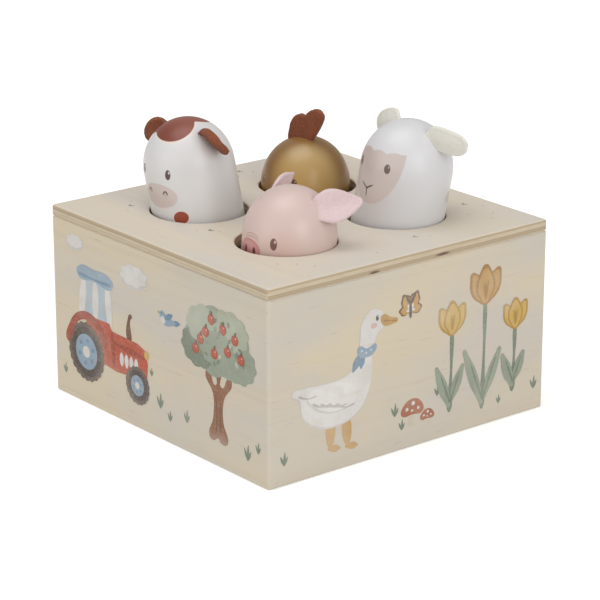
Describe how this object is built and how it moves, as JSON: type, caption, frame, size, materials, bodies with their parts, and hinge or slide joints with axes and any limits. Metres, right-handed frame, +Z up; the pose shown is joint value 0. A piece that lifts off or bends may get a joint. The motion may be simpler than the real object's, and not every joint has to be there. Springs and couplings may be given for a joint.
{
  "type": "pop-up animal toy",
  "caption": "Square plywood toy box with turned wooden animal heads on springs in round holes of its top: pressed down, they pop up again and wobble.",
  "frame": {"origin": "middle of the box's underside, on the surface it stands on", "axes": "+X to the right and +Y to the back seen from the front, the side that every animal faces; +Z up"},
  "size_m": [0.155, 0.155, 0.1345],
  "materials": {
    "plywood": "sanded and clear lacquered, matte",
    "turned_wood": "bare, fine sanded",
    "screw_steel": "zinc plated",
    "spring_steel": "drawn wire",
    "white_paint": "satin paint",
    "pink_paint": "satin paint",
    "ochre_paint": "satin paint",
    "rust_felt": "wool felt",
    "pink_felt": "wool felt",
    "ivory_felt": "wool felt"
  },
  "bodies": {
    "box": {"front_panel": "plywood", "right_panel": "plywood", "back_panel": "plywood", "left_panel": "plywood", "top_plate": "plywood", "bottom_plate": "plywood", "block_screws": "screw_steel", "post_screws": "screw_steel", "front_left_block": "turned_wood", "front_right_block": "turned_wood", "back_left_block": "turned_wood", "back_right_block": "turned_wood", "cow_spring_post": "turned_wood", "pig_spring_post": "turned_wood", "sheep_spring_post": "turned_wood", "chick_spring_post": "turned_wood"},
    "cow_spring": {"cow_spring": "spring_steel"},
    "cow": {"cow_head": "white_paint", "cow_left_ear": "rust_felt", "cow_right_ear": "rust_felt"},
    "pig_spring": {"pig_spring": "spring_steel"},
    "pig": {"pig_head": "pink_paint", "pig_left_ear": "pink_felt", "pig_right_ear": "pink_felt"},
    "sheep_spring": {"sheep_spring": "spring_steel"},
    "sheep": {"sheep_head": "white_paint", "sheep_left_ear": "ivory_felt", "sheep_right_ear": "ivory_felt"},
    "chick_spring": {"chick_spring": "spring_steel"},
    "chick": {"chick_head": "ochre_paint", "chick_comb": "rust_felt"}
  },
  "joints": [
    {"name": "cow_lean", "type": "hinge", "parent": "box", "child": "cow_spring", "pos_m": [-0.03111, -0.03079, 0.0845], "axis": [0.342, -0.9397, 0], "range_deg": [-23.5, 0], "stiffness_Nm_per_rad": 0.03, "springref_deg": 2.01, "deforming": ["cow_spring"]},
    {"name": "cow_press", "type": "slide", "parent": "cow_spring", "child": "cow", "axis": [-0.1917, -0.0698, 0.979], "range_m": [-0.02, 0], "stiffness_N_per_m": 520, "springref_m": 0.002, "deforming": ["cow_spring"]},
    {"name": "pig_lean", "type": "hinge", "parent": "box", "child": "pig_spring", "pos_m": [0.03164, -0.03011, 0.0845], "axis": [-0.4226, 0.9063, 0], "range_deg": [-11.3, 0], "stiffness_Nm_per_rad": 0.03, "springref_deg": 2.01, "deforming": ["pig_spring"]},
    {"name": "pig_press", "type": "slide", "parent": "pig_spring", "child": "pig", "axis": [0.0898, 0.0419, 0.9951], "range_m": [-0.02, 0], "stiffness_N_per_m": 520, "springref_m": 0.002, "deforming": ["pig_spring", "pig_left_ear", "pig_right_ear"]},
    {"name": "sheep_lean", "type": "hinge", "parent": "box", "child": "sheep_spring", "pos_m": [0.0313, 0.03099, 0.0845], "axis": [-0.4848, 0.8746, 0], "range_deg": [-18.9, 0], "stiffness_Nm_per_rad": 0.03, "springref_deg": 2.01, "deforming": ["sheep_spring"]},
    {"name": "sheep_press", "type": "slide", "parent": "sheep_spring", "child": "sheep", "axis": [0.144, 0.0798, 0.9863], "range_m": [-0.02, 0], "stiffness_N_per_m": 520, "springref_m": 0.002, "deforming": ["sheep_spring"]},
    {"name": "chick_lean", "type": "hinge", "parent": "box", "child": "chick_spring", "pos_m": [-0.03133, 0.03027, 0.0845], "axis": [0.4067, -0.9135, 0], "range_deg": [-10.5, 8.4], "stiffness_Nm_per_rad": 0.03, "deforming": ["chick_spring"]},
    {"name": "chick_press", "type": "slide", "parent": "chick_spring", "child": "chick", "axis": [-0.0164, -0.0073, 0.9998], "range_m": [-0.02, 0], "stiffness_N_per_m": 520, "springref_m": 0.002, "deforming": ["chick_spring"]}
  ]
}
